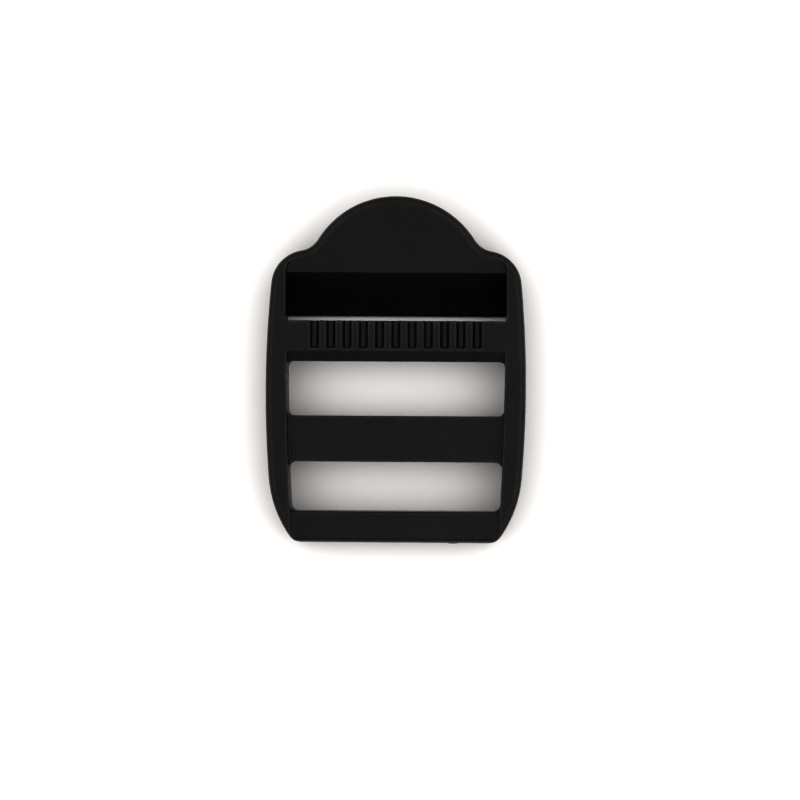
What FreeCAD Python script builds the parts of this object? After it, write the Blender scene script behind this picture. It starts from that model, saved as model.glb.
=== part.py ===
import FreeCAD, Part
import math
import os
import re
import Sketcher

# Ladder-lock (tension-lock) slider for 25 mm webbing.
#
# Frame: millimetres. X runs across the strap, Y along it with the thumb tab at
# +Y, Z up through the thickness. The slider lies on the back faces of its side
# rails at Z = 0. The origin is on the back plane, under the centre of the
# outline.
#
# The real slider is one acetal moulding, so its master shape is one body with
# the moulding's own features. That shape is then divided, at the places where
# one member runs into the next, into the members that carry the names.

os.makedirs("parts", exist_ok=True)
doc = FreeCAD.newDocument("ladder_lock_slider")

# --------------------------------------------------------------------------
# driving dimensions
# --------------------------------------------------------------------------
CELLS = [
    # outline, seen from the front
    ("dome_radius", 11.05, "thumb tab dome"),
    ("dome_centre_y", 9.40, ""),
    ("neck_radius", 3.0, "hollow between dome and shoulder"),
    ("shoulder_radius", 4.2, "shoulder at the top of a rail"),
    ("shoulder_centre_y", 9.93, ""),
    ("side_radius", 131.0, "long bowed side"),
    ("side_centre_x", 115.58, "to the other side of the centre line"),
    ("side_centre_drop", 2.2, "widest point, below Y = 0"),
    ("flank_radius", 14.0, "side turning in towards the end bar"),
    ("corner_radius", 1.7, "bottom corners"),
    ("corner_centre_x", 11.13, ""),
    ("end_drop", 20.5, "outer edge of the end bar, below Y = 0"),
    # heights
    ("stock_top", 8.6, "height of the blank"),
    ("rail_front", 5.4, "front of the rails"),
    ("taper_start_drop", 13.0, "rails start to taper here"),
    ("rail_end_front", 4.95, "front of the rails at the end bar"),
    ("taper_radius", 60.0, ""),
    ("shoulder_start", 9.3, "rails start to fall towards the tab"),
    ("shoulder_round", 20.0, ""),
    ("valley_y", 13.02, "rails meet the tab"),
    ("valley_front", 5.081, ""),
    ("valley_round", 3.0, ""),
    ("tab_tilt_rise", 0.36397, "rise of the tab per mm, tan 20 deg"),
    # back of the thumb tab
    ("heel_y", 9.9, "back face leaves the table plane"),
    ("heel_round", 5.0, ""),
    ("tab_back_rise", 0.5774, "rise of the back of the tab per mm, tan 30 deg"),
    # edges
    ("front_round", 0.85, "outer front edge"),
    ("back_round", 0.5, "outer back edge"),
    # slots
    ("slot_one_top", 0.99, ""),
    ("slot_one_drop", 5.49, "lower edge, below Y = 0"),
    ("slot_one_half_top", 12.97, ""),
    ("slot_one_half_low", 12.87, ""),
    ("slot_one_round", 0.7, ""),
    ("slot_two_drop_top", 10.92, ""),
    ("slot_two_drop_low", 16.81, ""),
    ("slot_two_half_top", 12.74, ""),
    ("slot_two_half_low", 12.44, ""),
    ("slot_two_round", 0.9, ""),
    # throat between the gripping bar and the tab
    ("throat_half", 13.08, ""),
    ("grip_edge", 5.78, "gripping edge of the toothed bar"),
    ("grip_land", 4.2, "bottom of the upright part of that edge"),
    ("undercut_y", 4.7, ""),
    ("bar_back", 1.1, "back of the toothed bar"),
    ("wall_foot_y", 6.42, ""),
    ("wall_foot", 0.36, ""),
    ("wall_bend_y", 9.81, "the hollow wall aims at this corner"),
    ("wall_bend", 1.16, ""),
    ("wall_hollow", 7.1, "radius of the hollow wall"),
    ("foot_round", 0.15, ""),
    ("wall_top_y", 11.49, ""),
    ("wall_top", 4.522, ""),
    ("recess_rise", 0.3679, "rise of the tab's root per mm"),
    ("recess_run", 2.25, "along the slope"),
    ("recess_round", 2.0, "corners of the recess"),
    ("pass_half", 12.7, "strap passage behind the toothed bar"),
    ("pass_low", 0.4, ""),
    ("pass_high", 5.0, ""),
    # chamfer of the toothed bar
    ("crest_y", 2.27, ""),
    ("chamfer_y", 0.8, ""),
    ("chamfer_front", 4.45, ""),
    ("chamfer_half", 12.9, ""),
    # grooves
    ("groove_count", 11, ""),
    ("groove_span", 19.27, "first groove to last"),
    ("groove_mouth", 1.17, ""),
    ("groove_floor", 0.45, ""),
    ("groove_depth", 0.55, ""),
    ("groove_low", 2.58, ""),
    ("groove_run", 3.4, ""),
    # centre bar
    ("centre_front", 4.4, ""),
    ("centre_back", 0.35, ""),
    ("centre_cut_top_drop", 5.0, ""),
    ("centre_cut_low_drop", 11.5, ""),
    ("centre_half_top", 12.88, ""),
    ("centre_half_low", 12.66, ""),
    # end bar
    ("end_half", 12.36, ""),
    ("end_front", 4.80, "front face at the slot"),
    ("end_front_outer", 4.66, "front face at the outer edge"),
    ("end_cut_top_drop", 16.1, ""),
    ("end_lip_drop", 17.08, "soft edge at the slot"),
    ("end_lip_front", 4.21, ""),
    ("end_outer_drop", 19.6, "front face starts to round over"),
    ("end_round", 0.85, ""),
    ("end_back", 0.35, ""),
    # gate mark on the outer edge of the end bar
    ("gate_x", 6.9, ""),
    ("gate_height", 2.6, ""),
    ("gate_radius", 0.6, ""),
    ("gate_proud", 0.1, ""),
    # where the members meet
    ("centre_joint", 12.55, ""),
    ("end_joint", 12.2, ""),
    ("grip_joint", 12.6, ""),
    ("tab_joint", 12.9, ""),
    ("throat_joint_y", 6.0, ""),
    ("tooth_joint", 4.97, "root of the teeth"),
    ("reach", 30.0, "larger than the slider, for the dividing boxes"),
]

sheet = doc.addObject("Spreadsheet::Sheet", "Dims")
V = {}
for row, (name, value, note) in enumerate(CELLS, start=1):
    sheet.set("A%d" % row, name)
    sheet.set("B%d" % row, repr(value))
    sheet.setAlias("B%d" % row, name)
    if note:
        sheet.set("C%d" % row, note)
    V[name] = float(value)
doc.recompute()


def vec(x, y, z=0.0):
    return FreeCAD.Vector(float(x), float(y), float(z))


def value_of(expression):
    """The value of an expression: numbers, Dims aliases, + - * / and brackets."""
    words = re.findall(r"Dims\.\w+|\d+\.?\d*|[-+*/()]", expression)
    place = [0]

    def peek():
        return words[place[0]] if place[0] < len(words) else ""

    def take():
        place[0] += 1
        return words[place[0] - 1]

    def factor():
        word = take()
        if word == "-":
            return -factor()
        if word == "(":
            got = total()
            take()
            return got
        return V[word[5:]] if word.startswith("Dims.") else float(word)

    def product():
        got = factor()
        while peek() in ("*", "/"):
            got = got * factor() if take() == "*" else got / factor()
        return got

    def total():
        got = product()
        while peek() in ("+", "-"):
            got = got + product() if take() == "+" else got - product()
        return got

    return total()


def cell(name):
    return "Dims." + name


# --------------------------------------------------------------------------
# sketch helpers
# --------------------------------------------------------------------------
body = doc.addObject("PartDesign::Body", "moulding")
body.Label = "moulding"
doc.recompute()


def plane(role):
    for feature in body.Origin.OriginFeatures:
        if feature.Role == role:
            return feature
    raise RuntimeError("no origin plane " + role)


def new_sketch(name, role, lift=None):
    sk = body.newObject("Sketcher::SketchObject", name)
    sk.AttachmentSupport = (plane(role), [""])
    sk.MapMode = "FlatFace"
    if lift:
        sk.setExpression("AttachmentOffset.Base.z", lift)
    doc.recompute()
    return sk


def pin_point(sk, geo, pos, xe, ye):
    """Hold a sketch point at two sheet expressions, signs taken from their values."""
    for kind, expression in (("DistanceX", xe), ("DistanceY", ye)):
        val = value_of(expression)
        if abs(val) < 1e-9:
            axis = -2 if kind == "DistanceX" else -1
            sk.addConstraint(Sketcher.Constraint("PointOnObject", geo, pos, axis))
        elif val > 0:
            i = sk.addConstraint(Sketcher.Constraint(kind, -1, 1, geo, pos, val))
            sk.setExpression("Constraints[%d]" % i, expression)
        else:
            i = sk.addConstraint(Sketcher.Constraint(kind, geo, pos, -1, 1, -val))
            sk.setExpression("Constraints[%d]" % i, "-(" + expression + ")")


def polygon(sk, points):
    """A closed polygon whose corners are pinned to sheet expressions.

    A corner with a third expression is rounded to that radius: an arc tangent
    to both sides, which still aim at the pinned corner.
    """
    xy = [(value_of(p[0]), value_of(p[1])) for p in points]
    rad = [value_of(p[2]) if len(p) > 2 else 0.0 for p in points]
    n = len(xy)
    leave, arrive, arcs = list(xy), list(xy), {}
    for i in range(n):
        if not rad[i]:
            continue
        (x, y), (px, py), (qx, qy) = xy[i], xy[i - 1], xy[(i + 1) % n]
        a, b = math.hypot(px - x, py - y), math.hypot(qx - x, qy - y)
        ux, uy, wx, wy = (px - x) / a, (py - y) / a, (qx - x) / b, (qy - y) / b
        turn = math.acos(max(-1.0, min(1.0, ux * wx + uy * wy)))
        run = rad[i] / math.tan(turn / 2)
        arrive[i] = (x + ux * run, y + uy * run)
        leave[i] = (x + wx * run, y + wy * run)
        k = math.hypot(ux + wx, uy + wy)
        far_off = rad[i] / math.sin(turn / 2)
        cx, cy = x + (ux + wx) / k * far_off, y + (uy + wy) / k * far_off
        mid = (cx - (ux + wx) / k * rad[i], cy - (uy + wy) / k * rad[i])
        arcs[i] = Part.Arc(vec(*arrive[i]), vec(*mid), vec(*leave[i]))
    for i in range(n):
        sk.addGeometry(Part.LineSegment(vec(*leave[i]), vec(*arrive[(i + 1) % n])), False)
    for i in range(n):
        if i not in arcs:
            sk.addConstraint(Sketcher.Constraint("Coincident", i - 1 if i else n - 1, 2, i, 1))
            pin_point(sk, i, 1, points[i][0], points[i][1])
            continue
        before_line = i - 1 if i else n - 1
        g = sk.addGeometry(arcs[i], False)
        starts_at_arrival = ((sk.getPoint(g, 1) - vec(*arrive[i])).Length
                             < (sk.getPoint(g, 2) - vec(*arrive[i])).Length)
        first_end, last_end = (1, 2) if starts_at_arrival else (2, 1)
        sk.addConstraint(Sketcher.Constraint("Tangent", before_line, 2, g, first_end))
        sk.addConstraint(Sketcher.Constraint("Tangent", g, last_end, i, 1))
        c = sk.addConstraint(Sketcher.Constraint("Radius", g, rad[i]))
        sk.setExpression("Constraints[%d]" % c, points[i][2])
        corner = sk.addGeometry(Part.Point(vec(*xy[i])), True)
        pin_point(sk, corner, 1, points[i][0], points[i][1])
        sk.addConstraint(Sketcher.Constraint("PointOnObject", corner, 1, before_line))
        sk.addConstraint(Sketcher.Constraint("PointOnObject", corner, 1, i))
    doc.recompute()
    state = sk.solve()
    if state != 0:
        raise RuntimeError("%s doesn't solve: %s" % (sk.Name, state))


def volume():
    return body.Shape.Volume


def cut(name, sketch, half=None, through_all=False, reverse=False, symmetric=False):
    """A pocket from a sketch; it must take material away."""
    before = volume()
    pk = body.newObject("PartDesign::Pocket", name)
    pk.Profile = sketch
    if symmetric:
        pk.SideType = "Symmetric"
    if through_all:
        pk.Type = "ThroughAll"
    else:
        pk.Type = "Length"
        pk.Length = 1.0
        pk.setExpression("Length", half)
    pk.Reversed = reverse
    doc.recompute()
    taken = before - volume()
    if not taken > 1e-3:
        raise RuntimeError("%s takes nothing away (%.4f)" % (name, taken))
    print("%-16s takes %8.2f mm3" % (name, taken))
    return pk


def round_edges(name, base, picks, radius):
    fl = body.newObject("PartDesign::Fillet", name)
    fl.Base = (base, picks)
    fl.Radius = value_of(cell(radius))
    fl.setExpression("Radius", cell(radius))
    doc.recompute()
    if "Invalid" in fl.State or "Error" in fl.State or fl.Shape.isNull():
        raise RuntimeError("%s failed on %s" % (name, picks))
    return fl


# --------------------------------------------------------------------------
# outline: dome, neck, shoulder, bowed side, flank, corner and end, both sides
# --------------------------------------------------------------------------
def meet(c1, r1, c2, r2, pick):
    """Centre at distance r1 from c1 and r2 from c2, the one that pick prefers."""
    dx, dy = c2[0] - c1[0], c2[1] - c1[1]
    d = math.hypot(dx, dy)
    a = (r1 * r1 - r2 * r2 + d * d) / (2 * d)
    k = math.sqrt(max(0.0, r1 * r1 - a * a))
    mx, my = c1[0] + a * dx / d, c1[1] + a * dy / d
    both = [(mx + k * dy / d, my - k * dx / d), (mx - k * dy / d, my + k * dx / d)]
    return max(both, key=pick)


def toward(c, target, r):
    dx, dy = target[0] - c[0], target[1] - c[1]
    d = math.hypot(dx, dy)
    return (c[0] + r * dx / d, c[1] + r * dy / d)


dome_c = (0.0, V["dome_centre_y"])
side_c = (-V["side_centre_x"], -V["side_centre_drop"])
sh_gap = V["side_radius"] - V["shoulder_radius"]
sh_dy = V["shoulder_centre_y"] - side_c[1]
shoulder_c = (side_c[0] + math.sqrt(sh_gap ** 2 - sh_dy ** 2), V["shoulder_centre_y"])
neck_c = meet(dome_c, V["dome_radius"] + V["neck_radius"],
              shoulder_c, V["shoulder_radius"] + V["neck_radius"], lambda p: p[1])
corner_c = (V["corner_centre_x"], -V["end_drop"] + V["corner_radius"])
flank_c = meet(side_c, V["side_radius"] - V["flank_radius"],
               corner_c, V["flank_radius"] - V["corner_radius"], lambda p: p[1])

t_dome = toward(dome_c, neck_c, V["dome_radius"])
t_neck = toward(shoulder_c, neck_c, V["shoulder_radius"])
t_shoulder = toward(side_c, shoulder_c, V["side_radius"])
t_flank = toward(side_c, flank_c, V["side_radius"])
t_corner = toward(flank_c, corner_c, V["flank_radius"])
t_end = (corner_c[0], -V["end_drop"])


def arc(centre, radius, start, stop):
    """Counter-clockwise arc from start to stop."""
    a = math.atan2(start[1] - centre[1], start[0] - centre[0])
    b = math.atan2(stop[1] - centre[1], stop[0] - centre[0])
    if b < a:
        b += 2 * math.pi
    return Part.ArcOfCircle(Part.Circle(vec(*centre), vec(0, 0, 1), radius), a, b)


def mx(p):
    return (-p[0], p[1])


outline = new_sketch("outline", "XY_Plane")
# geometry order, counter-clockwise from the left end of the dome backwards
#  0 dome   1..5 right: neck shoulder side flank corner   6 end line
#  7..11 left: corner flank side shoulder neck
outline.addGeometry(arc(dome_c, V["dome_radius"], t_dome, mx(t_dome)), False)
outline.addGeometry(arc(neck_c, V["neck_radius"], t_dome, t_neck), False)
outline.addGeometry(arc(shoulder_c, V["shoulder_radius"], t_shoulder, t_neck), False)
outline.addGeometry(arc(side_c, V["side_radius"], t_flank, t_shoulder), False)
outline.addGeometry(arc(flank_c, V["flank_radius"], t_corner, t_flank), False)
outline.addGeometry(arc(corner_c, V["corner_radius"], t_end, t_corner), False)
outline.addGeometry(Part.LineSegment(vec(-t_end[0], t_end[1]), vec(*t_end)), False)
outline.addGeometry(arc(mx(corner_c), V["corner_radius"], mx(t_corner), mx(t_end)), False)
outline.addGeometry(arc(mx(flank_c), V["flank_radius"], mx(t_flank), mx(t_corner)), False)
outline.addGeometry(arc(mx(side_c), V["side_radius"], mx(t_shoulder), mx(t_flank)), False)
outline.addGeometry(arc(mx(shoulder_c), V["shoulder_radius"], mx(t_neck), mx(t_shoulder)), False)
outline.addGeometry(arc(mx(neck_c), V["neck_radius"], mx(t_neck), mx(t_dome)), False)

# ends that meet, tangent: (geometry, end) pairs; 1 is an arc's start, 2 its end
MEET = [
    (0, 1, 1, 1), (1, 2, 2, 2), (2, 1, 3, 2), (3, 1, 4, 2), (4, 1, 5, 2), (5, 1, 6, 2),
    (0, 2, 11, 2), (11, 1, 10, 1), (10, 2, 9, 1), (9, 2, 8, 1), (8, 2, 7, 1), (7, 2, 6, 1),
]
for g1, p1, g2, p2 in MEET:
    outline.addConstraint(Sketcher.Constraint("Tangent", g1, p1, g2, p2))
for geo, name in ((0, "dome"), (1, "neck"), (2, "shoulder"), (3, "side"), (4, "flank"),
                  (5, "corner"), (7, "corner"), (8, "flank"), (9, "side"),
                  (10, "shoulder"), (11, "neck")):
    i = outline.addConstraint(Sketcher.Constraint("Radius", geo, V[name + "_radius"]))
    outline.setExpression("Constraints[%d]" % i, cell(name + "_radius"))


def hold(geo, kind, expression):
    val = value_of(expression)
    i = outline.addConstraint(Sketcher.Constraint(kind, -1, 1, geo, 3, val) if val > 0 else
                              Sketcher.Constraint(kind, geo, 3, -1, 1, -val))
    outline.setExpression("Constraints[%d]" % i, expression if val > 0 else "-(" + expression + ")")


outline.addConstraint(Sketcher.Constraint("PointOnObject", 0, 3, -2))
hold(0, "DistanceY", cell("dome_centre_y"))
outline.addConstraint(Sketcher.Constraint("Horizontal", 6))
i = outline.addConstraint(Sketcher.Constraint("DistanceY", 6, 2, -1, 1, V["end_drop"]))
outline.setExpression("Constraints[%d]" % i, cell("end_drop"))
for side, shoulder, corner, sign in ((3, 2, 5, ""), (9, 10, 7, "-")):
    hold(side, "DistanceX", ("-" if sign == "" else "") + cell("side_centre_x"))
    hold(side, "DistanceY", "-" + cell("side_centre_drop"))
    hold(shoulder, "DistanceY", cell("shoulder_centre_y"))
    hold(corner, "DistanceX", sign + cell("corner_centre_x"))
doc.recompute()
print("outline solver", outline.solve(), "closed", outline.Shape.isClosed() if outline.Shape.Wires else None)
outline_wire = Part.Wire(Part.__sortEdges__(outline.Shape.Edges))

stock = body.newObject("PartDesign::Pad", "stock")
stock.Profile = outline
stock.Length = V["stock_top"]
stock.setExpression("Length", cell("stock_top"))
doc.recompute()
assert stock.Shape.BoundBox.ZMax > 1, "the blank must rise from the back plane"

# --------------------------------------------------------------------------
# front and back, seen from the side
# --------------------------------------------------------------------------
D = cell
front = new_sketch("front_profile", "YZ_Plane")
slope_end = "(%s - %s) / (%s - %s)" % (D("rail_front"), D("rail_end_front"), D("end_drop"), D("taper_start_drop"))
polygon(front, [
    ("-22", "%s - (22 - %s) * %s" % (D("rail_front"), D("taper_start_drop"), slope_end)),
    ("-" + D("taper_start_drop"), D("rail_front"), D("taper_radius")),
    (D("shoulder_start"), D("rail_front"), D("shoulder_round")),
    (D("valley_y"), D("valley_front"), D("valley_round")),
    ("22", "%s + (22 - %s) * %s" % (D("valley_front"), D("valley_y"), D("tab_tilt_rise"))),
    ("22", "12"),
    ("-22", "12"),
])
cut("front_cut", front, half="40", symmetric=True)

under = new_sketch("back_profile", "YZ_Plane")
polygon(under, [
    ("6", "0"),
    ("6", "-1"),
    ("22", "-1"),
    ("22", "(22 - %s) * %s" % (D("heel_y"), D("tab_back_rise"))),
    (D("heel_y"), "0", D("heel_round")),
])
back_cut = cut("back_cut", under, half="40", symmetric=True)


def rim_edges(shape, upper):
    """Edges of the outline's front or back rim."""
    out = []
    for k, e in enumerate(shape.Edges, start=1):
        mid = e.valueAt((e.FirstParameter + e.LastParameter) / 2)
        a, b = e.Vertexes[0].Point, e.Vertexes[-1].Point
        if abs(a.x - b.x) < 1e-5 and abs(a.y - b.y) < 1e-5:
            continue
        on_rim = outline_wire.distToShape(Part.Vertex(mid.x, mid.y, 0))[0] < 2e-3
        if not on_rim:
            continue
        half_way = 2.5 if mid.y < 9 else 2.5 + (mid.y - 9) * 0.40
        if (mid.z > half_way) == upper:
            out.append("Edge%d" % k)
    return out


f5 = round_edges("front_rim", back_cut, rim_edges(back_cut.Shape, True), "front_round")
f6 = round_edges("back_rim", f5, rim_edges(f5.Shape, False), "back_round")
print("blank volume %.1f" % volume())

# --------------------------------------------------------------------------
# the two large slots
# --------------------------------------------------------------------------
slot_one = new_sketch("slot_one_outline", "XY_Plane", "-1")
polygon(slot_one, [
    ("-" + D("slot_one_half_low"), "-" + D("slot_one_drop")),
    (D("slot_one_half_low"), "-" + D("slot_one_drop")),
    (D("slot_one_half_top"), D("slot_one_top")),
    ("-" + D("slot_one_half_top"), D("slot_one_top")),
])
cut("slot_one", slot_one, half="20", reverse=True)
slot_two = new_sketch("slot_two_outline", "XY_Plane", "-1")
polygon(slot_two, [
    ("-" + D("slot_two_half_low"), "-" + D("slot_two_drop_low")),
    (D("slot_two_half_low"), "-" + D("slot_two_drop_low")),
    (D("slot_two_half_top"), "-" + D("slot_two_drop_top")),
    ("-" + D("slot_two_half_top"), "-" + D("slot_two_drop_top")),
])
slot_two_cut = cut("slot_two", slot_two, half="20", reverse=True)


def upright_edges(shape, corners):
    out = []
    for k, e in enumerate(shape.Edges, start=1):
        a, b = e.Vertexes[0].Point, e.Vertexes[-1].Point
        if abs(a.z - b.z) > 1 and abs(a.x - b.x) < 1e-4 and abs(a.y - b.y) < 1e-4:
            if any(abs(a.x - x) < 1e-2 and abs(a.y - y) < 1e-2 for x, y in corners):
                out.append("Edge%d" % k)
    return out


one = [(s * x, y) for s in (-1, 1) for x, y in
       ((V["slot_one_half_low"], -V["slot_one_drop"]), (V["slot_one_half_top"], V["slot_one_top"]))]
two = [(s * x, y) for s in (-1, 1) for x, y in
       ((V["slot_two_half_low"], -V["slot_two_drop_low"]), (V["slot_two_half_top"], -V["slot_two_drop_top"]))]
f7 = round_edges("slot_one_corners", slot_two_cut, upright_edges(slot_two_cut.Shape, one), "slot_one_round")
f8 = round_edges("slot_two_corners", f7, upright_edges(f7.Shape, two), "slot_two_round")

# --------------------------------------------------------------------------
# throat, sloping wall and root of the tab
# --------------------------------------------------------------------------
throat = new_sketch("throat_section", "YZ_Plane")
polygon(throat, [
    (D("grip_edge"), "8.5"),
    (D("grip_edge"), D("grip_land")),
    (D("undercut_y"), D("bar_back")),
    (D("undercut_y"), "-1"),
    (D("wall_foot_y"), "-1"),
    (D("wall_foot_y"), D("wall_foot"), D("foot_round")),
    (D("wall_bend_y"), D("wall_bend"), D("wall_hollow")),
    (D("wall_top_y"), D("wall_top")),
    (D("wall_top_y"), "8.5"),
])
cut("throat", throat, half="2 * " + D("throat_half"), symmetric=True)

# the root of the tab lies below the rails; its side walls curve in at the top
recess = body.newObject("Sketcher::SketchObject", "recess_outline")
recess.AttachmentSupport = (plane("XY_Plane"), [""])
recess.MapMode = "FlatFace"
lean = math.degrees(math.atan(V["recess_rise"]))
recess.AttachmentOffset = FreeCAD.Placement(vec(0, V["wall_top_y"], V["wall_top"]),
                                            FreeCAD.Rotation(vec(1, 0, 0), lean))
recess.setExpression("AttachmentOffset.Base.y", D("wall_top_y"))
recess.setExpression("AttachmentOffset.Base.z", D("wall_top"))
recess.setExpression("AttachmentOffset.Rotation.Angle", "atan(%s)" % D("recess_rise"))
doc.recompute()
polygon(recess, [
    ("-" + D("throat_half"), "-0.5"),
    (D("throat_half"), "-0.5"),
    (D("throat_half"), D("recess_run"), D("recess_round")),
    ("-" + D("throat_half"), D("recess_run"), D("recess_round")),
])
cut("tab_root", recess, half="6", reverse=True)

# strap passage behind the gripping bar
passage = new_sketch("passage_section", "YZ_Plane")
polygon(passage, [
    (D("pass_low"), "-1"),
    (D("pass_high"), "-1"),
    (D("pass_high"), D("bar_back")),
    (D("pass_low"), D("bar_back")),
])
cut("passage", passage, half="2 * " + D("pass_half"), symmetric=True)

# chamfer of the gripping bar, towards the large slot
chamfer = new_sketch("chamfer_section", "YZ_Plane")
polygon(chamfer, [
    (D("chamfer_y"), D("chamfer_front")),
    (D("crest_y"), D("rail_front")),
    (D("crest_y"), "8"),
    (D("chamfer_y"), "8"),
])
cut("bar_chamfer", chamfer, half="2 * " + D("chamfer_half"), symmetric=True)

# --------------------------------------------------------------------------
# centre bar, set back from both faces of the rails
# --------------------------------------------------------------------------
def bar_window(sk):
    polygon(sk, [
        ("-" + D("centre_half_low"), "-" + D("centre_cut_low_drop")),
        (D("centre_half_low"), "-" + D("centre_cut_low_drop")),
        (D("centre_half_top"), "-" + D("centre_cut_top_drop")),
        ("-" + D("centre_half_top"), "-" + D("centre_cut_top_drop")),
    ])


centre_front = new_sketch("centre_front_window", "XY_Plane", D("centre_front"))
bar_window(centre_front)
cut("centre_front_cut", centre_front, half="5", reverse=True)
centre_back = new_sketch("centre_back_window", "XY_Plane", D("centre_back"))
bar_window(centre_back)
cut("centre_back_cut", centre_back, half="3")

# --------------------------------------------------------------------------
# end bar, set back a little less, its outer front edge rounded over
# --------------------------------------------------------------------------
end_front = new_sketch("end_front_section", "YZ_Plane")
r = V["end_round"]
pts = [(-V["end_cut_top_drop"], V["end_lip_front"]), (-V["end_lip_drop"], V["end_front"]),
       (-V["end_outer_drop"], V["end_front_outer"]), (-V["end_drop"] - 0.02, V["end_front_outer"] - r)]
# lines: lip, face; arc: round-over; lines: out, up, back, down
seg = [
    Part.LineSegment(vec(*pts[0]), vec(*pts[1])),
    Part.LineSegment(vec(*pts[1]), vec(*pts[2])),
    Part.Arc(vec(*pts[2]),
             vec(pts[2][0] - r * math.sin(math.radians(45)), pts[2][1] - r * (1 - math.cos(math.radians(45)))),
             vec(pts[2][0] - r, pts[2][1] - r)),
    Part.LineSegment(vec(pts[2][0] - r, pts[2][1] - r), vec(-22, pts[2][1] - r)),
    Part.LineSegment(vec(-22, pts[2][1] - r), vec(-22, 8)),
    Part.LineSegment(vec(-22, 8), vec(pts[0][0], 8)),
    Part.LineSegment(vec(pts[0][0], 8), vec(*pts[0])),
]
for g in seg:
    end_front.addGeometry(g, False)


def join(a, pa, b, pb):
    end_front.addConstraint(Sketcher.Constraint("Coincident", a, pa, b, pb))


arc_low, arc_high = (1, 2) if end_front.getPoint(2, 1).y < end_front.getPoint(2, 2).y else (2, 1)
join(0, 2, 1, 1)
join(1, 2, 2, arc_high)
join(2, arc_low, 3, 1)
join(3, 2, 4, 1)
join(4, 2, 5, 1)
join(5, 2, 6, 1)
join(6, 2, 0, 1)
pin_point(end_front, 0, 1, "-" + D("end_cut_top_drop"), D("end_lip_front"))
pin_point(end_front, 1, 1, "-" + D("end_lip_drop"), D("end_front"))
pin_point(end_front, 1, 2, "-" + D("end_outer_drop"), D("end_front_outer"))
pin_point(end_front, 3, 1, "-(%s + %s)" % (D("end_outer_drop"), D("end_round")),
          "%s - %s" % (D("end_front_outer"), D("end_round")))
pin_point(end_front, 4, 1, "-22", "%s - %s" % (D("end_front_outer"), D("end_round")))
pin_point(end_front, 5, 1, "-22", "8")
end_front.addConstraint(Sketcher.Constraint("Horizontal", 5))
end_front.addConstraint(Sketcher.Constraint("Vertical", 6))
i = end_front.addConstraint(Sketcher.Constraint("Radius", 2, r))
end_front.setExpression("Constraints[%d]" % i, D("end_round"))
doc.recompute()
cut("end_front_cut", end_front, half="2 * " + D("end_half"), symmetric=True)

end_back = new_sketch("end_back_section", "YZ_Plane")
polygon(end_back, [
    ("-" + D("end_cut_top_drop"), D("end_back")),
    ("-(%s - 0.55)" % D("end_drop"), D("end_back")),
    ("-(%s + 0.15)" % D("end_drop"), "%s + 0.70" % D("end_back")),
    ("-22", "%s + 0.70" % D("end_back")),
    ("-22", "-1"),
    ("-" + D("end_cut_top_drop"), "-1"),
])
cut("end_back_cut", end_back, half="2 * " + D("end_half"), symmetric=True)

# gate mark on the outer edge of the end bar
gate = new_sketch("gate_outline", "XZ_Plane")
gate.addGeometry(Part.Circle(vec(V["gate_x"], V["gate_height"]), vec(0, 0, 1), V["gate_radius"]), False)
i = gate.addConstraint(Sketcher.Constraint("Radius", 0, V["gate_radius"]))
gate.setExpression("Constraints[%d]" % i, D("gate_radius"))
pin_point(gate, 0, 3, D("gate_x"), D("gate_height"))
gate.setExpression("AttachmentOffset.Base.z", "%s - 0.4" % D("end_drop"))
doc.recompute()
before = volume()
gate_pad = body.newObject("PartDesign::Pad", "gate_mark")
gate_pad.Profile = gate
gate_pad.Length = 0.5
gate_pad.setExpression("Length", "0.4 + " + D("gate_proud"))
doc.recompute()
print("gate sketch at Y %.2f, adds %.3f" % (gate.Placement.Base.y, volume() - before), body.Shape.BoundBox)

# --------------------------------------------------------------------------
# grooves in the gripping bar
# --------------------------------------------------------------------------
groove = new_sketch("groove_section", "XZ_Plane")
groove.setExpression("AttachmentOffset.Base.z", "-" + D("groove_low"))
doc.recompute()
first = "-%s / 2" % D("groove_span")
deep = "%s - %s" % (D("rail_front"), D("groove_depth"))
wide = "(%s - %s) / 2 / %s" % (D("groove_mouth"), D("groove_floor"), D("groove_depth"))
polygon(groove, [
    ("%s - %s / 2" % (first, D("groove_floor")), deep),
    ("%s + %s / 2" % (first, D("groove_floor")), deep),
    ("%s + %s / 2 + 0.4 * %s" % (first, D("groove_mouth"), wide), "%s + 0.4" % D("rail_front")),
    ("%s - %s / 2 - 0.4 * %s" % (first, D("groove_mouth"), wide), "%s + 0.4" % D("rail_front")),
])
print("groove sketch at Y", groove.Placement.Base.y)
one_groove = cut("groove", groove, half=D("groove_run"))
before = volume()
row = body.newObject("PartDesign::LinearPattern", "groove_row")
row.Originals = [one_groove]
row.Direction = (plane("X_Axis"), [""])
row.Length = V["groove_span"]
row.setExpression("Length", D("groove_span"))
row.Occurrences = int(V["groove_count"])
row.setExpression("Occurrences", D("groove_count"))
body.Tip = row
doc.recompute()
print("groove row takes %.2f" % (before - volume()))
assert before - volume() > 5, "the groove row must cut"

# --------------------------------------------------------------------------
# dividing boxes, bound to the sheet
# --------------------------------------------------------------------------
def box(name, x0, x1, y0, y1, z0="-1", z1="12"):
    b = doc.addObject("Part::Box", name)
    b.setExpression("Length", "(%s) - (%s)" % (x1, x0))
    b.setExpression("Width", "(%s) - (%s)" % (y1, y0))
    b.setExpression("Height", "(%s) - (%s)" % (z1, z0))
    b.setExpression("Placement.Base.x", x0)
    b.setExpression("Placement.Base.y", y0)
    b.setExpression("Placement.Base.z", z0)
    return b


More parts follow.
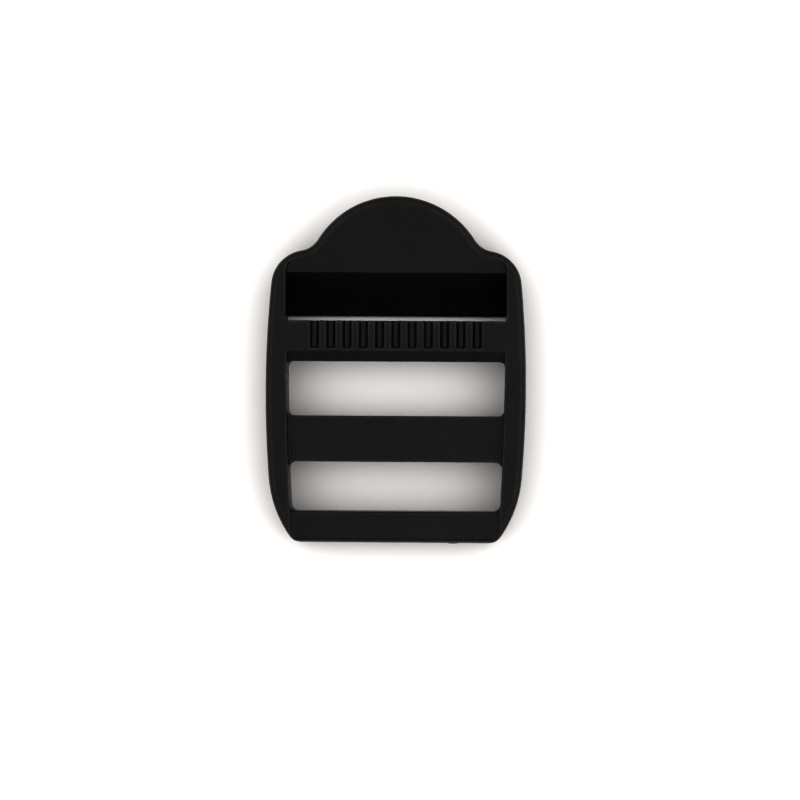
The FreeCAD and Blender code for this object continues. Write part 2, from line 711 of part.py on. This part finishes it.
far = D("reach")
centre_zone = box("centre_zone", "-" + D("centre_joint"), D("centre_joint"),
                  "-" + D("centre_cut_low_drop"), "-" + D("centre_cut_top_drop"))
end_zone = box("end_zone", "-" + D("end_joint"), D("end_joint"), "-" + far, "-" + D("end_cut_top_drop") + " + 0.1")
grip_zone = box("grip_zone", "-" + D("grip_joint"), D("grip_joint"), D("pass_low"), D("throat_joint_y"))
wall_zone = box("wall_zone", "-" + D("tab_joint"), D("tab_joint"), D("throat_joint_y"), D("wall_top_y"))
tab_zone = box("tab_zone", "-" + D("tab_joint"), D("tab_joint"), D("wall_top_y"), far)
teeth_zone = box("teeth_zone", "-%s / 2" % D("groove_span"), "%s / 2" % D("groove_span"),
                 D("groove_low"), D("throat_joint_y"), D("tooth_joint"), "12")
left_zone = box("left_zone", "-" + far, "0", "-" + far, far)
right_zone = box("right_zone", "0", far, "-" + far, far)


def common(name, base, tool):
    o = doc.addObject("Part::Common", name)
    o.Base, o.Tool = base, tool
    o.Label = name
    return o


def subtract(name, base, tool):
    o = doc.addObject("Part::Cut", name)
    o.Base, o.Tool = base, tool
    o.Label = name
    return o


inner_zones = doc.addObject("Part::MultiFuse", "inner_zones")
inner_zones.Shapes = [centre_zone, end_zone, grip_zone, wall_zone, tab_zone]
rail_pair = subtract("rail_pair", body, inner_zones)
grip_whole = common("grip_whole", body, grip_zone)

NODES = [
    common("left_side_rail", rail_pair, left_zone),
    common("right_side_rail", rail_pair, right_zone),
    common("end_bar", body, end_zone),
    common("centre_bar", body, centre_zone),
    subtract("toothed_bar", grip_whole, teeth_zone),
    common("grip_teeth", grip_whole, teeth_zone),
    common("throat_wall", body, wall_zone),
    common("thumb_tab", body, tab_zone),
]
doc.recompute()

# --------------------------------------------------------------------------
# checks, then the files
# --------------------------------------------------------------------------
bad = [o.Name for o in doc.Objects if "Invalid" in o.State or "Error" in o.State]
if bad:
    raise RuntimeError("features that failed: %s" % bad)
total = 0.0
for o in NODES:
    s = o.Shape
    if s.isNull() or not s.isValid() or not s.Solids:
        raise RuntimeError("bad shape: " + o.Label)
    total += s.Volume
    bb = s.BoundBox
    print("%-16s %2d solid(s) %8.2f mm3  X %.2f..%.2f Y %.2f..%.2f Z %.2f..%.2f" % (
        o.Label, len(s.Solids), s.Volume, bb.XMin, bb.XMax, bb.YMin, bb.YMax, bb.ZMin, bb.ZMax))
whole = body.Shape
print("moulding %.2f mm3, members together %.2f mm3" % (whole.Volume, total))
if abs(whole.Volume - total) > 0.5:
    raise RuntimeError("the members don't add up to the moulding")
for o in NODES:
    o.Shape.exportStep("parts/%s.step" % o.Label)
print("wrote %d files" % len(NODES))
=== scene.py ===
import math

import bmesh
import bpy
import numpy as np
from mathutils import Matrix, Vector


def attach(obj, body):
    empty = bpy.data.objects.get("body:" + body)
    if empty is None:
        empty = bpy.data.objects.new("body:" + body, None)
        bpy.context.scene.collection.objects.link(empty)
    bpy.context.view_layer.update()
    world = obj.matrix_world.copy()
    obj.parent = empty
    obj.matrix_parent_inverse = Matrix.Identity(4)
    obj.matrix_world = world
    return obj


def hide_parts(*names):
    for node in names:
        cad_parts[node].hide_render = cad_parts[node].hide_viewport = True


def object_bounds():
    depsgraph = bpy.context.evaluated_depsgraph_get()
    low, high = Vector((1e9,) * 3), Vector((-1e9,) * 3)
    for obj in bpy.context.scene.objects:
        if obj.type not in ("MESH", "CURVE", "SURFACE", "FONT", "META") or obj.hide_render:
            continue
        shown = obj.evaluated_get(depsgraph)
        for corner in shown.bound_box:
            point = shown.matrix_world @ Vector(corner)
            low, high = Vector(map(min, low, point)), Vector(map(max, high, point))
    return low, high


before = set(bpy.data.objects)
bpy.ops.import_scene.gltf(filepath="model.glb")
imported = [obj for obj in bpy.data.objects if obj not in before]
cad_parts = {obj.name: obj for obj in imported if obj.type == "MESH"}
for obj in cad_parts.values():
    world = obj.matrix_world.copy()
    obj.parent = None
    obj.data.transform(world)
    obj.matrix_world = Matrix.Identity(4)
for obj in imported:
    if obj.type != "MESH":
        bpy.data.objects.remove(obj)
cad_lo, cad_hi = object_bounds()
MM = 0.001

# ---------------------------------------------------------------------------
# 1. the moulding as one skin: the members fused, edges softened as a mould
#    leaves them, then the small marks of moulding
# ---------------------------------------------------------------------------
VOXEL = 0.085      # mm
TARGET_TRIS = 230000


def stacked_nodes():
    """Every CAD node in one mesh, in millimetres."""
    vs, fs, base = [], [], 0
    for name in sorted(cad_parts):
        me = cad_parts[name].data
        co = np.empty(len(me.vertices) * 3, np.float32)
        me.vertices.foreach_get("co", co)
        vs.append(co.reshape(-1, 3) / MM)
        for p in me.polygons:
            fs.append([base + i for i in p.vertices])
        base += len(me.vertices)
    me = bpy.data.meshes.new("stacked")
    me.from_pydata(np.concatenate(vs).tolist(), [], fs)
    me.update()
    return me


def evaluated(obj):
    dg = bpy.context.evaluated_depsgraph_get()
    return bpy.data.meshes.new_from_object(obj.evaluated_get(dg), depsgraph=dg)


def new_object(name, me):
    o = bpy.data.objects.new(name, me)
    bpy.context.scene.collection.objects.link(o)
    return o


def coords(me):
    co = np.empty(len(me.vertices) * 3, np.float32)
    me.vertices.foreach_get("co", co)
    return co.reshape(-1, 3).astype(np.float64)


def put(me, co):
    me.vertices.foreach_set("co", co.astype(np.float32).ravel())
    me.update()


work = new_object("work", stacked_nodes())
m = work.modifiers.new("remesh", "REMESH")
m.mode, m.voxel_size, m.adaptivity = "VOXEL", VOXEL, 0.0
m = work.modifiers.new("soften", "SMOOTH")
m.factor, m.iterations = 0.5, 6
bpy.context.view_layer.update()
skin = evaluated(work)
work.modifiers.clear()
work.data = skin


def vertex_normals(me):
    n = np.empty(len(me.vertices) * 3, np.float32)
    me.vertex_normals.foreach_get("vector", n)
    return n.reshape(-1, 3).astype(np.float64)


def smoothstep(a, b, x):
    t = np.clip((x - a) / (b - a), 0, 1)
    return t * t * (3 - 2 * t)


def moulding_marks(me):
    co, no = coords(me), vertex_normals(me)
    x, y, z = co[:, 0], co[:, 1], co[:, 2]
    push = np.zeros(len(co))
    # witness line where the two halves of the mould meet, round the outer wall
    outward = np.clip((np.abs(no[:, 2]) - 0.35) / -0.25, 0, 1)
    outer = (np.abs(x) > 13.4 - np.clip(-13 - y, 0, 9) * 0.20) | (y < -20.2)
    push += 0.022 * np.exp(-((z - 2.45) / 0.075) ** 2) * outward * outer
    # ejector marks in the back of the bars and rails, a few hundredths deep
    down = smoothstep(0.85, 0.98, -no[:, 2])
    for cx, cy, r in ((-7.6, -8.2, 1.15), (7.6, -8.2, 1.15), (-7.6, -18.35, 0.95),
                      (7.6, -18.35, 0.95), (-8.2, 7.7, 0.9), (8.2, 7.7, 0.9)):
        d = np.hypot(x - cx, y - cy)
        push -= 0.045 * (1 - smoothstep(r - 0.09, r + 0.05, d)) * down
        push += 0.012 * np.exp(-((d - r - 0.07) / 0.07) ** 2) * down
    # the faces of a thick moulding draw in a little between their edges
    up = smoothstep(0.9, 0.99, np.abs(no[:, 2]))
    for lo_y, hi_y, half, depth in ((-10.9, -5.47, 12.5, 0.030), (-20.0, -16.9, 12.0, 0.024)):
        v = np.clip((y - lo_y) / (hi_y - lo_y), 0, 1)
        across = np.clip(1 - (x / half) ** 2, 0, 1)
        push -= depth * 4 * v * (1 - v) * np.sqrt(across) * up * ((y > lo_y) & (y < hi_y) & (np.abs(x) < half))
    tab = (y > 11.6) & (np.hypot(x, y - 9.4) < 10.6) & (no[:, 2] > 0.8)
    v = np.clip(1 - (np.hypot(x, y - 13.2) / 6.5) ** 2, 0, 1)
    push -= 0.035 * v * tab
    # slow waviness of a cooled surface
    wave = (np.sin(0.71 * x + 0.37 * y + 1.1) * np.sin(0.43 * y - 0.29 * x + 0.6)
            + 0.6 * np.sin(1.33 * x - 0.91 * y + 2.0) * np.sin(0.83 * y + 0.5 * x))
    push += 0.004 * wave
    return co + no * push[:, None]


def mark_edges(me, name, rounds, low, high):
    """Stores how far each point stands proud of its smoothed surroundings, 0 to 1."""
    co, no = coords(me), vertex_normals(me)
    ends = np.empty(len(me.edges) * 2, np.int32)
    me.edges.foreach_get("vertices", ends)
    a, b = ends[0::2], ends[1::2]
    n = len(co)
    degree = np.maximum(np.bincount(a, minlength=n) + np.bincount(b, minlength=n), 1)
    soft = co.copy()
    for _ in range(rounds):
        soft = np.stack([(np.bincount(a, weights=soft[b, k], minlength=n)
                          + np.bincount(b, weights=soft[a, k], minlength=n)) / degree
                         for k in range(3)], axis=1)
    proud = ((co - soft) * no).sum(1)
    att = me.attributes.new(name, "FLOAT", "POINT")
    att.data.foreach_set("value", smoothstep(low, high, proud).astype(np.float32))


put(skin, moulding_marks(skin))
co = coords(skin)
lo = np.array(cad_lo) / MM
hi = np.array(cad_hi) / MM
put(skin, np.clip(co, lo, hi))
mark_edges(skin, "rubbed", 20, 0.012, 0.075)

skin_metres = skin.copy()
put(skin_metres, coords(skin) * MM)
source = new_object("normals_source", skin_metres)
for p in skin_metres.polygons:
    p.use_smooth = True

tris = 2 * len(skin.polygons)
m = work.modifiers.new("thin", "DECIMATE")
m.ratio = min(1.0, TARGET_TRIS / max(1, tris))
bpy.context.view_layer.update()
light = evaluated(work)
bpy.data.objects.remove(work)
print("skin", len(skin.vertices), "verts; thinned to", len(light.polygons), "faces")

# ---------------------------------------------------------------------------
# 2. the skin divided into the members, each closed
# ---------------------------------------------------------------------------
ZONES = {
    "end_bar": (12.2, -30.0, -16.3),
    "centre_bar": (12.554, -11.5, -5.0),
    "toothed_bar": (12.6, 0.4, 6.0),
    "throat_wall": (12.9, 6.0, 11.49),
    "thumb_tab": (12.9, 11.49, 30.0),
}


def cap(bm, edges):
    if edges:
        bmesh.ops.triangle_fill(bm, use_beauty=True, use_dissolve=False, edges=edges)


def slice_keep(bm, co, no):
    """Cuts with a plane, drops the side that no points to, and closes the cut."""
    got = bmesh.ops.bisect_plane(bm, geom=bm.verts[:] + bm.edges[:] + bm.faces[:], dist=1e-7,
                                 plane_co=co, plane_no=no, clear_outer=True, clear_inner=False)
    edges = [e for e in got["geom_cut"] if isinstance(e, bmesh.types.BMEdge) and e.is_boundary]
    cap(bm, edges)


def finish_mesh(bm, name):
    bmesh.ops.triangulate(bm, faces=[f for f in bm.faces if len(f.verts) > 4])
    loose = [e for e in bm.edges if not e.link_faces]
    if loose:
        bmesh.ops.delete(bm, geom=loose, context="EDGES")
    bmesh.ops.dissolve_degenerate(bm, dist=1e-6, edges=bm.edges[:])
    holes = [e for e in bm.edges if e.is_boundary]
    if holes:
        bmesh.ops.holes_fill(bm, edges=holes, sides=12)
    bmesh.ops.recalc_face_normals(bm, faces=bm.faces[:])
    for e in bm.edges:
        if len(e.link_faces) != 2:
            print(name, "edge with", len(e.link_faces), "faces at", [tuple(round(c, 4) for c in v.co) for v in e.verts])
    open_edges = sum(1 for e in bm.edges if len(e.link_faces) != 2)
    print("%-16s faces %6d open edges %d" % (name, len(bm.faces), open_edges))
    for v in bm.verts:
        v.co *= MM
    for f in bm.faces:
        f.smooth = True
    me = bpy.data.meshes.new(name)
    bm.to_mesh(me)
    bm.free()
    return me


meshes = {}
for name, (half, y0, y1) in ZONES.items():
    bm = bmesh.new()
    bm.from_mesh(light)
    pad = 1.5
    far_faces = [f for f in bm.faces if not (y0 - pad < f.calc_center_median().y < y1 + pad)]
    bmesh.ops.delete(bm, geom=far_faces, context="FACES")
    if y0 > -25:
        slice_keep(bm, (0, y0, 0), (0, -1, 0))
    if y1 < 25:
        slice_keep(bm, (0, y1, 0), (0, 1, 0))
    slice_keep(bm, (half, 0, 0), (1, 0, 0))
    slice_keep(bm, (-half, 0, 0), (-1, 0, 0))
    meshes[name] = finish_mesh(bm, name)

for name, sign in (("left_side_rail", -1), ("right_side_rail", 1)):
    bm = bmesh.new()
    bm.from_mesh(light)
    bmesh.ops.delete(bm, geom=[f for f in bm.faces if sign * f.calc_center_median().x < 11.0], context="FACES")
    for half, y0, y1 in ((12.2, -30, -15.0), (12.554, -12.6, -4.0), (12.6, 0.0, 6.0), (12.9, 6.0, 30.0)):
        near = [f for f in bm.faces if y0 < f.calc_center_median().y < y1]
        geom = list({v for f in near for v in f.verts}) + list({e for f in near for e in f.edges}) + near
        bmesh.ops.bisect_plane(bm, geom=geom, dist=1e-7, plane_co=(sign * half, 0, 0),
                               plane_no=(sign, 0, 0))
    gone = []
    for f in bm.faces:
        c = f.calc_center_median()
        a = sign * c.x
        if any(a < half and y0 < c.y < y1 for half, y0, y1 in
               ((12.2, -30, -16.3), (12.554, -11.5, -5.0), (12.6, 0.4, 6.0), (12.9, 6.0, 30.0))):
            gone.append(f)
    bmesh.ops.delete(bm, geom=gone, context="FACES")
    for half, y0, y1 in ((12.2, -30, -15.0), (12.554, -12.6, -4.0), (12.6, 0.0, 6.0), (12.9, 6.0, 30.0)):
        edges = [e for e in bm.edges if e.is_boundary and
                 all(abs(sign * v.co.x - half) < 1e-4 and y0 < v.co.y < y1 for v in e.verts)]
        cap(bm, edges)
    meshes[name] = finish_mesh(bm, name)

# ---------------------------------------------------------------------------
# 3. material: black acetal off a spark-eroded mould
# ---------------------------------------------------------------------------
def acetal():
    mat = bpy.data.materials.new("black_acetal")
    mat.use_nodes = True
    nt = mat.node_tree
    nt.nodes.clear()
    N, L = nt.nodes.new, nt.links.new
    out = N("ShaderNodeOutputMaterial")
    bsdf = N("ShaderNodeBsdfPrincipled")
    L(bsdf.outputs["BSDF"], out.inputs["Surface"])
    tc = N("ShaderNodeTexCoord")

    def noise(scale, detail, rough, vector=None):
        n = N("ShaderNodeTexNoise")
        n.inputs["Scale"].default_value = scale
        n.inputs["Detail"].default_value = detail
        n.inputs["Roughness"].default_value = rough
        L(vector or tc.outputs["Object"], n.inputs["Vector"])
        return n.outputs["Fac"]

    def ramp(src, lo, hi, a, b):
        r = N("ShaderNodeMapRange")
        r.inputs["From Min"].default_value = lo
        r.inputs["From Max"].default_value = hi
        r.inputs["To Min"].default_value = a
        r.inputs["To Max"].default_value = b
        L(src, r.inputs["Value"])
        return r.outputs["Result"]

    def maths(kind, a, b, c=None):
        m = N("ShaderNodeMath")
        m.operation = kind
        for k, v in enumerate((a, b, c)):
            if v is None:
                continue
            if isinstance(v, float):
                m.inputs[k].default_value = v
            else:
                L(v, m.inputs[k])
        return m.outputs[0]

    def blend(fac, a, b):
        m = N("ShaderNodeMix")
        m.data_type = "RGBA"
        L(fac, m.inputs["Factor"])
        for key, v in (("A", a), ("B", b)):
            if isinstance(v, tuple):
                m.inputs[key].default_value = v
            else:
                L(v, m.inputs[key])
        return m.outputs["Result"]

    # colour: near black, a touch uneven where the melt flowed, greyer where rubbed
    flow = noise(140.0, 3.0, 0.55)
    speck = noise(4600.0, 2.0, 0.65)
    patch = noise(420.0, 4.0, 0.6)
    rubbed = N("ShaderNodeAttribute")
    rubbed.attribute_name = "rubbed"
    worn = maths("MULTIPLY", rubbed.outputs["Fac"], ramp(patch, 0.36, 0.62, 0.35, 1.0))
    base = blend(ramp(flow, 0.35, 0.68, 0.0, 1.0), BLACK_LOW, BLACK_HIGH)
    base = blend(ramp(speck, 0.52, 0.72, 0.0, 0.7), base, BLACK_SPECK)
    L(blend(worn, base, BLACK_WORN), bsdf.inputs["Base Color"])

    # roughness: satin, rubbed edges a little more polished, faint scuffs
    stretched = N("ShaderNodeMapping")
    stretched.inputs["Rotation"].default_value = (0.0, 0.0, 0.5)
    stretched.inputs["Scale"].default_value = (0.10, 1.0, 1.0)
    L(tc.outputs["Object"], stretched.inputs["Vector"])
    scuff = ramp(noise(2600.0, 2.0, 0.5, stretched.outputs["Vector"]), 0.66, 0.74, 0.0, 1.0)
    scuff = maths("MULTIPLY", scuff, ramp(patch, 0.50, 0.66, 0.0, 1.0))
    rough = maths("ADD", ramp(flow, 0.3, 0.7, ROUGH - 0.03, ROUGH + 0.05), ramp(speck, 0.3, 0.7, -0.05, 0.05))
    rough = maths("MULTIPLY_ADD", worn, -0.12, rough)
    rough = maths("MULTIPLY_ADD", scuff, -0.08, rough)
    L(rough, bsdf.inputs["Roughness"])

    # the eroded grain itself, about a tenth of a millimetre, and its softer swell
    grain = noise(5600.0, 3.0, 0.68)
    coarse = noise(1900.0, 2.0, 0.5)
    b1 = N("ShaderNodeBump")
    b1.inputs["Strength"].default_value = 0.95
    b1.inputs["Distance"].default_value = 0.00004
    L(grain, b1.inputs["Height"])
    b2 = N("ShaderNodeBump")
    b2.inputs["Strength"].default_value = 0.40
    b2.inputs["Distance"].default_value = 0.00003
    L(coarse, b2.inputs["Height"])
    L(b1.outputs["Normal"], b2.inputs["Normal"])
    L(b2.outputs["Normal"], bsdf.inputs["Normal"])
    bsdf.inputs["IOR"].default_value = 1.48
    bsdf.inputs["Specular IOR Level"].default_value = SPECULAR
    return mat


BLACK_LOW = (0.0146, 0.0138, 0.0131, 1)
BLACK_HIGH = (0.0202, 0.0191, 0.0182, 1)
BLACK_SPECK = (0.037, 0.036, 0.034, 1)
BLACK_WORN = (0.048, 0.046, 0.044, 1)
ROUGH = 0.27
SPECULAR = 0.62
plastic = acetal()

# ---------------------------------------------------------------------------
# 4. the pieces
# ---------------------------------------------------------------------------
STANDS_FOR = {
    "left_side_rail": ["left_side_rail"],
    "right_side_rail": ["right_side_rail"],
    "end_bar": ["end_bar"],
    "centre_bar": ["centre_bar"],
    "toothed_bar": ["toothed_bar", "grip_teeth"],
    "throat_wall": ["throat_wall"],
    "thumb_tab": ["thumb_tab"],
}
for name, me in meshes.items():
    o = new_object("moulded_" + name, me)
    me.materials.append(plastic)
    m = o.modifiers.new("normals", "DATA_TRANSFER")
    m.object = source
    m.use_loop_data = True
    m.data_types_loops = {"CUSTOM_NORMAL"}
    m.loop_mapping = "POLYINTERP_NEAREST"
    bpy.context.view_layer.update()
    final = evaluated(o)
    o.modifiers.clear()
    o.data = final
    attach(o, "root")
    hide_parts(*STANDS_FOR[name])
bpy.data.objects.remove(source)

# ---------------------------------------------------------------------------
# 5. stage, light, camera
# ---------------------------------------------------------------------------
def floor():
    me = bpy.data.meshes.new("table")
    s = 1.5
    me.from_pydata([(-s, -s, 0), (s, -s, 0), (s, s, 0), (-s, s, 0)], [], [(0, 1, 2, 3)])
    o = new_object("table", me)
    o.location.z = -0.00002
    mat = bpy.data.materials.new("white_card")
    mat.use_nodes = True
    b = mat.node_tree.nodes["Principled BSDF"]
    b.inputs["Base Color"].default_value = (0.872, 0.858, 0.848, 1)
    b.inputs["Roughness"].default_value = 0.9
    b.inputs["Specular IOR Level"].default_value = 0.1
    me.materials.append(mat)
    return o


floor()


def area(name, loc, target, size, size_y, power, spread=None):
    d = bpy.data.lights.new(name, "AREA")
    d.shape, d.size, d.size_y, d.energy = "RECTANGLE", size, size_y, power
    if spread:
        d.spread = spread
    o = bpy.data.objects.new(name, d)
    bpy.context.scene.collection.objects.link(o)
    o.location = loc
    o.rotation_euler = (Vector(target) - Vector(loc)).to_track_quat("-Z", "Y").to_euler()
    return o


KEY = 0.02
SKY = 1.0
LEAN = (0.09, 0.03, 0.0)
SIDES = (0.44, -0.36, 0.0)
area("key_left", (-0.42, 0.16, 0.42), (0, 0, 0), 0.40, 0.50, KEY)


def studio(sky):
    """A white tent, even from overhead to half way down, brighter at its left and right sides."""
    world = bpy.data.worlds.new("room")
    world.use_nodes = True
    nt = world.node_tree
    N, L = nt.nodes.new, nt.links.new
    bg = nt.nodes["Background"]
    bg.inputs["Color"].default_value = (1, 1, 1, 1)
    tc = N("ShaderNodeTexCoord")
    sep = N("ShaderNodeSeparateXYZ")
    L(tc.outputs["Generated"], sep.inputs[0])
    ramp = N("ShaderNodeFloatCurve")
    curve = ramp.mapping.curves[0]
    top = max(v for _, v in sky)
    pts = curve.points
    pts[0].location = (sky[0][0], sky[0][1] / top)
    pts[1].location = (sky[-1][0], sky[-1][1] / top)
    for h, v in sky[1:-1]:
        pts.new(h, v / top)
    for p in pts:
        p.handle_type = "AUTO_CLAMPED"
    ramp.mapping.update()
    L(sep.outputs["Z"], ramp.inputs["Value"])
    lean = N("ShaderNodeVectorMath")
    lean.operation = "DOT_PRODUCT"
    L(tc.outputs["Generated"], lean.inputs[0])
    lean.inputs[1].default_value = LEAN
    square = N("ShaderNodeVectorMath")
    square.operation = "MULTIPLY"
    L(tc.outputs["Generated"], square.inputs[0])
    L(tc.outputs["Generated"], square.inputs[1])
    sides = N("ShaderNodeVectorMath")
    sides.operation = "DOT_PRODUCT"
    L(square.outputs["Vector"], sides.inputs[0])
    sides.inputs[1].default_value = SIDES
    both = N("ShaderNodeMath")
    both.operation = "ADD"
    L(lean.outputs["Value"], both.inputs[0])
    L(sides.outputs["Value"], both.inputs[1])
    gain = N("ShaderNodeMath")
    gain.operation = "ADD"
    L(both.outputs[0], gain.inputs[0])
    gain.inputs[1].default_value = 1.0
    times = N("ShaderNodeMath")
    times.operation = "MULTIPLY"
    L(ramp.outputs["Value"], times.inputs[0])
    L(gain.outputs[0], times.inputs[1])
    scale = N("ShaderNodeMath")
    scale.operation = "MULTIPLY"
    L(times.outputs[0], scale.inputs[0])
    scale.inputs[1].default_value = top * SKY
    L(scale.outputs[0], bg.inputs["Strength"])
    return world


bpy.context.scene.world = studio(((0.0, 0.3), (0.12, 0.46), (0.28, 1.02), (0.45, 1.46), (0.65, 1.74), (0.80, 1.74), (0.93, 1.42), (1.0, 1.34)))

sc = bpy.context.scene
sc.view_settings.view_transform = "Standard"
sc.view_settings.look = "None"
sc.view_settings.exposure = 0.0
sc.view_settings.gamma = 0.467     # a contrasty product shot: whites burnt out, blacks pressed down

cam_data = bpy.data.cameras.new("camera")
cam = bpy.data.objects.new("camera", cam_data)
sc.collection.objects.link(cam)
FRAME_WIDTH = 94.8 * MM
aim = Vector((0.525 * MM, -3.58 * MM, 4.5 * MM))
place = Vector((13.0 * MM, -3.58 * MM, 425.0 * MM))
dist = (place - aim).length
cam_data.sensor_width = 36.0
cam_data.lens = 36.0 * dist / FRAME_WIDTH
cam_data.clip_start, cam_data.clip_end = 0.01, 10.0
cam.location = place
view_dir = (aim - place).normalized()
right = Vector((1, 0, 0))
back = -view_dir
up = back.cross(right).normalized()
right = up.cross(back).normalized()
rot = Matrix((right, up, back)).transposed()
roll = Matrix.Rotation(math.radians(0.36), 3, "Z")
cam.rotation_euler = (rot @ roll).to_euler()
sc.camera = cam
